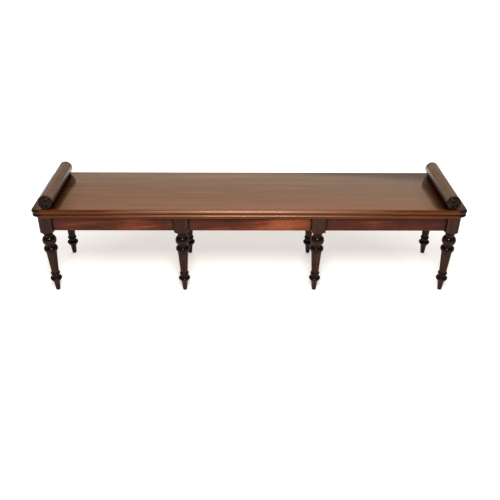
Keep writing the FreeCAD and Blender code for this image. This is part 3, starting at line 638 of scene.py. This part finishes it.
def polished_mahogany(name, grain_way, shades, figure_scale, streak_scale, figure_share, roughness=0.2,
                      lustre=0.25, lustre_tint=(1, 1, 1), relief=0.15, hollow_reach=HOLLOW_REACH,
                      hollow_tone=0.85, dulling=0.3, wear=0.4, hollow_colour=DARK_POLISH_AND_SHADE, varnish=0.0, sheen=None,
                      boards=None, painted_shade=None, edge_highlight=None, front_light=0.0, shade_spared=None):
    """French polished mahogany: grain, marks of use and painted light, then wax and painted shade in its
    hollows.

    figure_share is the share of slow figure in the grain's tone, and streaks are the rest. lustre is the
    strength of the mirror image and relief that of the bumps. hollow_tone and dulling say how dark and how
    dull the wax and painted shade make a hollow, hollow_colour is their colour, and wear is how bare an
    arris is. varnish is one weight all over, and sheen gives it by distance instead. boards change the tone
    along the bench, painted_shade is an axis with its stops, edge_highlight and front_light are painted
    light, and shade_spared lessens the shade in the hollows towards the ends.
    """
    material, tree, place = blank_material(name)
    grain = lay_grain(tree, place, grain_way, figure_scale, streak_scale)
    age = lay_age(tree, place, hollow_reach)
    slow = reckon(tree, "MULTIPLY", grain["Figure"], figure_share)
    fast = reckon(tree, "MULTIPLY", grain["Streaks"], 1 - figure_share)
    tone = reckon(tree, "ADD", slow, fast)
    if boards:
        tone = shift_tone(tree, place, tone, boards)
    dark_fibre = tuple(FIBRE_TONE * channel for channel in shades[0][1])
    colour = ramp(tree, tone, shades)
    colour = lay_over(tree, grain["Fibres"], FIBRE_SHARE, colour, dark_fibre)
    colour = lay_over(tree, grain["Pores"], PORE_SHARE, colour, DARK_POLISH_AND_SHADE)
    if edge_highlight:
        colour = paint_edge_highlight(tree, place, colour, *edge_highlight)
    if front_light:
        colour = paint_front_light(tree, place, colour, front_light)
    colour = lay_over(tree, age["Arrises"], wear, colour, WORN_POLISH)
    # Painted shade laid on in dark polish by distance
    if painted_shade:
        colour = mix_colour(tree, by_distance(tree, place, *painted_shade), colour, DARK_POLISH_AND_SHADE)
    wax_and_shade = age["Wax And Shade"]
    if shade_spared:
        wax_and_shade = spare_end_shade(tree, place, wax_and_shade, *shade_spared)
    # Wax together with painted shade in the hollows
    colour = lay_over(tree, wax_and_shade, hollow_tone, colour, hollow_colour)
    rough = reckon(tree, "MULTIPLY_ADD", age["Rubbing"], RUBBED_ROUGHNESS, roughness)
    rough = reckon(tree, "MULTIPLY_ADD", wax_and_shade, dulling, rough)
    height = reckon(tree, "MULTIPLY", grain["Fibres"], FIBRE_RISE)
    height = reckon(tree, "MULTIPLY_ADD", grain["Pores"], PORE_SINK, height)
    height = reckon(tree, "MULTIPLY_ADD", age["Rubbing"], PATCH_RISE, height)
    bump = add_node(tree, "ShaderNodeBump", {"Strength": relief, "Distance": RELIEF_DEPTH, "Height": height})
    if sheen:
        varnish = by_distance(tree, place, X, sheen)
    shader = add_node(tree, "ShaderNodeBsdfPrincipled",
                      {"Base Color": colour, "Roughness": rough, "Normal": bump.outputs[0],
                       "IOR": POLISH_IOR, "Specular IOR Level": lustre, "Specular Tint": (*lustre_tint, 1),
                       "Coat Weight": varnish, "Coat Roughness": VARNISH_ROUGHNESS})
    add_node(tree, "ShaderNodeOutputMaterial", {"Surface": shader.outputs[0]})
    return material


def sawn_wood(name, grain_way):
    """Bare secondary wood that has darkened with age."""
    material, tree, place = blank_material(name)
    grain = lay_grain(tree, place, grain_way, SAWN_SCALE, SAWN_SCALE)
    age = lay_age(tree, place, HOLLOW_REACH)
    colour = ramp(tree, grain["Streaks"], SAWN_SHADES)
    colour = lay_over(tree, grain["Fibres"], SAWN_FIBRE_SHARE, colour, SAWN_FIBRE)
    # Grime together with painted shade in the hollows
    colour = lay_over(tree, age["Wax And Shade"], SAWN_GRIME_AND_SHADE_SHARE, colour, SAWN_GRIME_AND_SHADE)
    rough = reckon(tree, "MULTIPLY_ADD", age["Rubbing"], SAWN_ROUGHER, SAWN_ROUGHNESS)
    bump = add_node(tree, "ShaderNodeBump",
                    {"Strength": SAWN_RELIEF, "Distance": SAWN_DEPTH, "Height": grain["Fibres"]})
    shader = add_node(tree, "ShaderNodeBsdfPrincipled",
                      {"Base Color": colour, "Roughness": rough, "Normal": bump.outputs[0],
                       "Specular IOR Level": SAWN_LUSTRE})
    add_node(tree, "ShaderNodeOutputMaterial", {"Surface": shader.outputs[0]})
    return material


def dull_steel(name):
    """Old screw steel, browned in patches."""
    material, tree, place = blank_material(name)
    speckle = noise(tree, place, SPECKLE_SCALE, SPECKLE_DETAIL)
    colour = ramp(tree, speckle, STEEL_SHADES)
    # Grime together with painted shade in the hollows
    colour = mix_colour(tree, lay_age(tree, place, HOLLOW_REACH)["Wax And Shade"], colour, STEEL_GRIME_AND_SHADE)
    rough = reckon(tree, "MULTIPLY_ADD", speckle, STEEL_SMOOTHER, STEEL_ROUGHNESS)
    shader = add_node(tree, "ShaderNodeBsdfPrincipled",
                      {"Base Color": colour, "Roughness": rough, "Metallic": STEEL_METAL})
    add_node(tree, "ShaderNodeOutputMaterial", {"Surface": shader.outputs[0]})
    return material


block_finish = sawn_wood("glue_block_wood", ALONG_X)
cross_finish = sawn_wood("cross_rail_wood", ALONG_Y)
screw_finish = dull_steel("screw_steel")
# Seat: the wide hollow reach and red wax colour paint shade and the dark mirror image of the rolls beside
# them
seat_finish = polished_mahogany(
    "seat_mahogany", ALONG_X, SEAT_SHADES, figure_scale=3.0, streak_scale=46.0, figure_share=0.2,
    roughness=0.07, lustre=0.44, lustre_tint=(1.0, 0.55, 0.36), relief=0.05, hollow_reach=0.042,
    hollow_tone=0.93, dulling=0.0, hollow_colour=RED_WAX_AND_SHADE, sheen=SEAT_SHEEN, boards=SEAT_BOARDS_AND_SHADE, front_light=0.6,
    shade_spared=SEAT_SHADE_SPARED)
# Edge: the dark quirk is wax together with painted shade
edge_finish = polished_mahogany(
    "seat_edge_mahogany", ALONG_X, EDGE_SHADES, figure_scale=3.0, streak_scale=60.0, figure_share=0.4,
    roughness=0.08, lustre=0.3, lustre_tint=(1.0, 0.62, 0.45), relief=0.01, hollow_reach=0.004,
    hollow_tone=0.8, dulling=0.0, wear=0.15, painted_shade=(X, BOARD_END_SHADE), edge_highlight=EDGE_HIGHLIGHT)
lining_finish = polished_mahogany(
    "lining_mahogany", ALONG_X, EDGE_SHADES, figure_scale=3.0, streak_scale=60.0, figure_share=0.4,
    lustre=0.12, relief=0.06)
end_lining_finish = polished_mahogany(
    "end_lining_mahogany", ALONG_Y, EDGE_SHADES, figure_scale=3.0, streak_scale=60.0, figure_share=0.4,
    lustre=0.12, relief=0.06)
# Rails: the hollow reach paints shade under the lining and beside the leg blocks, with the wax
rail_finish = polished_mahogany(
    "rail_mahogany", TILTED_X, RAIL_SHADES, figure_scale=6.0, streak_scale=30.0, figure_share=0.42,
    lustre=0.1, hollow_reach=0.03, hollow_tone=0.95, boards=RAIL_BOARDS, painted_shade=(X, RAIL_JOINT_SHADOW))
end_rail_finish = polished_mahogany(
    "end_rail_mahogany", TILTED_Y, RAIL_SHADES, figure_scale=6.0, streak_scale=30.0, figure_share=0.5,
    lustre=0.1, hollow_reach=0.03)
leg_finish = polished_mahogany(
    "leg_mahogany", ALONG_Z, LEG_SHADES, figure_scale=9.0, streak_scale=60.0, figure_share=0.35,
    roughness=0.3, lustre=0.0, relief=0.06, varnish=0.25, boards=LEG_BOARDS, painted_shade=(Z, LEG_SHADE_BANDS))
# Rolls: the wide hollow reach paints shade on the lower inner side of each roll
roll_finish = polished_mahogany(
    "roll_mahogany", ALONG_Y, ROLL_SHADES, figure_scale=14.0, streak_scale=60.0, figure_share=0.5,
    roughness=0.20, lustre=0.65, lustre_tint=(1.0, 0.86, 0.74), hollow_reach=0.050, dulling=0.0,
    painted_shade=(Y, ROLL_END_SHADE))
roll_end_finish = polished_mahogany(
    "roll_end_mahogany", ALONG_Y, ROLL_END_SHADES, figure_scale=30.0, streak_scale=120.0, figure_share=0.5,
    roughness=0.3, lustre=0.0, varnish=0.22)


def dress(piece, materials, node):
    """Give a new piece its finishes and let it stand for a node of the frame."""
    for material in materials:
        piece.data.materials.append(material)
    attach(piece, "root")
    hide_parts(node)


def refinish(node, material):
    """Give a node of the frame a better finish."""
    for place in nodes[node].material_slots:
        place.material = material


dress(make_seat_board(), [seat_finish, edge_finish, block_finish], "seat_board")
for side in ("front", "back"):
    lining = make_long_lining(f"{side}_lining", f"{side}_lining_strip")
    dress(lining, [lining_finish], f"{side}_lining")
    for bay in ("left", "middle", "right"):
        rail = make_rail(f"{side}_{bay}_rail", f"{side}_{bay}_seat_rail", X, TENON_LENGTH)
        dress(rail, [rail_finish, block_finish], f"{side}_{bay}_rail")
for end in ("left", "right"):
    rail = make_rail(f"{end}_end_rail", f"{end}_end_seat_rail", Y, END_TENON_LENGTH)
    dress(rail, [end_rail_finish, cross_finish], f"{end}_end_rail")
    roll = make_roll(f"{end}_roll", f"{end}_turned_roll")
    dress(roll, [roll_finish, roll_end_finish], f"{end}_roll")
    refinish(f"{end}_lining", end_lining_finish)
    refinish(f"{end}_cross_rail", cross_finish)

corner_leg = make_turned_leg("corner_leg", True)
inner_leg = make_turned_leg("inner_leg", False)
for side, column, pattern, quarter_turns in (
        ("front", "left", corner_leg, 0), ("front", "inner_left", inner_leg, 0),
        ("front", "inner_right", inner_leg, 1), ("front", "right", corner_leg, 1),
        ("back", "left", corner_leg, 3), ("back", "inner_left", inner_leg, 2),
        ("back", "inner_right", inner_leg, 3), ("back", "right", corner_leg, 2)):
    node = f"{side}_{column}_leg"
    low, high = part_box(node)
    middle = Vector(((low.x + high.x) / 2, (low.y + high.y) / 2, 0))
    leg = copy_to(pattern, f"{side}_{column}_turned_leg", middle, quarter_turns)
    dress(leg, [leg_finish], node)
for pattern in (corner_leg, inner_leg):
    bpy.data.objects.remove(pattern)
refinish("glue_blocks", block_finish)
refinish("seat_screws", screw_finish)
refinish("roll_screws", screw_finish)


def seen_rays(tree):
    """Rays straight from the camera, and those together with mirrored ones and ones through glass."""
    path = add_node(tree, "ShaderNodeLightPath").outputs
    seen = reckon(tree, "MAXIMUM", path["Is Camera Ray"], path["Is Glossy Ray"])
    return path["Is Camera Ray"], reckon(tree, "MAXIMUM", seen, path["Is Transmission Ray"])


def make_floor():
    """Pale studio floor that fades to white around the bench but keeps the bench's shadow."""
    bpy.ops.object.select_all(action="DESELECT")
    bpy.ops.mesh.primitive_plane_add(size=FLOOR_SIZE)
    floor = bpy.context.object
    floor.name = "studio_floor"
    material, tree, place = blank_material("studio_floor")
    _, seen = seen_rays(tree)
    oval = scale_vector(tree, place, FLOOR_OVAL)
    away = add_node(tree, "ShaderNodeVectorMath", {0: oval}, operation="LENGTH").outputs["Value"]
    reach = reckon(tree, "MULTIPLY_ADD", remap(tree, away, *FLOOR_FADE), FLOOR_GAIN, FLOOR_NEAR)
    paint = add_node(tree, "ShaderNodeBsdfDiffuse", {"Color": FLOOR_PAINT})
    glow = add_node(tree, "ShaderNodeEmission",
                    {"Color": FLOOR_GLOW, "Strength": reckon(tree, "MULTIPLY", reach, seen)})
    both = add_node(tree, "ShaderNodeAddShader", {0: paint.outputs[0], 1: glow.outputs[0]})
    add_node(tree, "ShaderNodeOutputMaterial", {"Surface": both.outputs[0]})
    floor.data.materials.append(material)


def make_world():
    """White surroundings that polish mirrors as a pale sweep behind and a dim room in front."""
    world = bpy.data.worlds.new("studio")
    scene.world = world
    world.use_nodes = True
    tree = world.node_tree
    tree.nodes.clear()
    straight, seen = seen_rays(tree)
    way = split(tree, add_node(tree, "ShaderNodeTexCoord").outputs["Generated"])
    behind = remap(tree, way[Y], -SWEEP_SIDE, SWEEP_SIDE, interpolation_type="SMOOTHSTEP")
    upwards = remap(tree, way[Z], *SWEEP_HEIGHT, low=SWEEP_FOOT, high=SWEEP_TOP)
    sweep = reckon(tree, "MAXIMUM", reckon(tree, "MULTIPLY", behind, upwards), ROOM_DIM)
    bright = reckon(tree, "MAXIMUM", sweep, straight)
    shade = add_node(tree, "ShaderNodeBackground", {"Color": WHITE, "Strength": WORLD_LIGHT})
    shown = add_node(tree, "ShaderNodeBackground", {"Color": WHITE, "Strength": bright})
    choice = add_node(tree, "ShaderNodeMixShader", {0: seen, 1: shade.outputs[0], 2: shown.outputs[0]})
    add_node(tree, "ShaderNodeOutputWorld", {"Surface": choice.outputs[0]})


def add_lamp(name, place, target, size, power, colour=(1, 1, 1), mirrored=True):
    """Softbox of a width and height aimed at a point."""
    data = bpy.data.lights.new(name, "AREA")
    data.shape = "RECTANGLE"
    data.size, data.size_y = size
    data.energy = power
    data.color = colour
    lamp = bpy.data.objects.new(name, data)
    scene.collection.objects.link(lamp)
    lamp.location = place
    lamp.rotation_euler = (Vector(target) - Vector(place)).to_track_quat("-Z", "Y").to_euler()
    lamp.visible_camera = False
    lamp.visible_glossy = mirrored


def make_camera():
    """Camera at the place and with the lens of the photograph."""
    data = bpy.data.cameras.new("camera")
    data.sensor_width = SENSOR_WIDTH
    data.lens = LENS
    data.clip_end = FAR_CLIP
    camera = bpy.data.objects.new("camera", data)
    scene.collection.objects.link(camera)
    yaw, pitch, roll = (math.radians(angle) for angle in (CAMERA_YAW, CAMERA_PITCH, CAMERA_ROLL))
    heading = Matrix.Rotation(yaw, 4, "Z") @ Matrix.Rotation(math.pi / 2 - pitch, 4, "X")
    camera.matrix_world = Matrix.Translation(CAMERA_PLACE) @ (heading @ Matrix.Rotation(roll, 4, "Z"))
    scene.camera = camera


make_floor()
make_world()
add_lamp("key_softbox", place=(0, -2.3, 2.65), target=(0, 0, 0.3), size=(0.9, 0.8), power=86)
add_lamp("rear_softbox", place=(0, 3.0, 1.9), target=(0, 0, 0.4), size=(4.8, 1.7), power=20.5,
         colour=(1, 0.72, 0.47))
add_lamp("back_fill", place=(0, 3.2, 1.3), target=(0, 0, 0.3), size=(3.0, 1.0), power=26, mirrored=False)
make_camera()
scene.view_settings.view_transform = "Standard"
